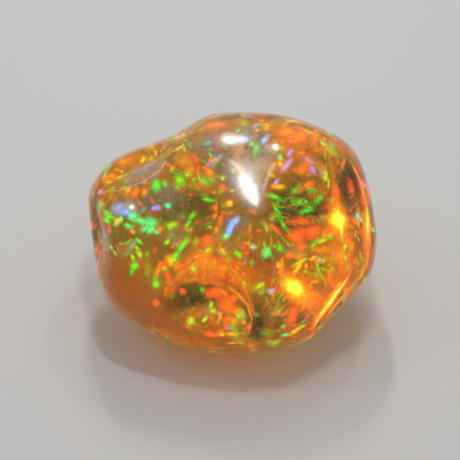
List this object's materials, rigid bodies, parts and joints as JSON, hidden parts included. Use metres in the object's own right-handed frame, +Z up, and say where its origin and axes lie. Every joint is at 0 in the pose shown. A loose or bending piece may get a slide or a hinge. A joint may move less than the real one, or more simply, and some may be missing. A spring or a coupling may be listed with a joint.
{
  "type": "fire opal nugget",
  "caption": "Polished freeform nugget of clear orange fire opal with play of colour, resting on a flat base.",
  "frame": {"origin": "on the resting surface, under the middle of the stone's box", "axes": "+X to the viewer's right along the stone's longest side, +Y away from the viewer, +Z up"},
  "size_m": [0.015, 0.0134, 0.0106],
  "materials": {
    "opal": "glassy polish, clear to slightly milky orange, with flashes of spectral colour inside"
  },
  "bodies": {
    "root": {"fire_opal": "opal"}
  },
  "joints": []
}
